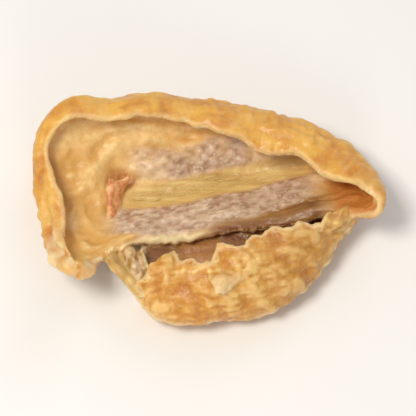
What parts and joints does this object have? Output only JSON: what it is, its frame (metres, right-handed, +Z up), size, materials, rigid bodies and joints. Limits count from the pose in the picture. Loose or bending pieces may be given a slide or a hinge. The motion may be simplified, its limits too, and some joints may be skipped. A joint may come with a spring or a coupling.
{
  "type": "dried persimmon slice",
  "caption": "Lengthwise slice of dried persimmon flesh, dished, with its rim rolled inwards by drying and one side torn into a lip that folds up over it.",
  "frame": {"origin": "middle of the bounding box in plan, on the surface that the slice rests on", "axes": "+X along the slice's length, +Y towards the broad rolled side and away from the torn lip, +Z up out of the dish"},
  "size_m": [0.0608, 0.0408, 0.0156],
  "materials": {
    "dried_flesh": "dried persimmon flesh, golden orange, satin and slightly translucent, with a greyish bloom on the cut floor"
  },
  "bodies": {
    "root": {"persimmon_slice": "dried_flesh"}
  },
  "joints": []
}
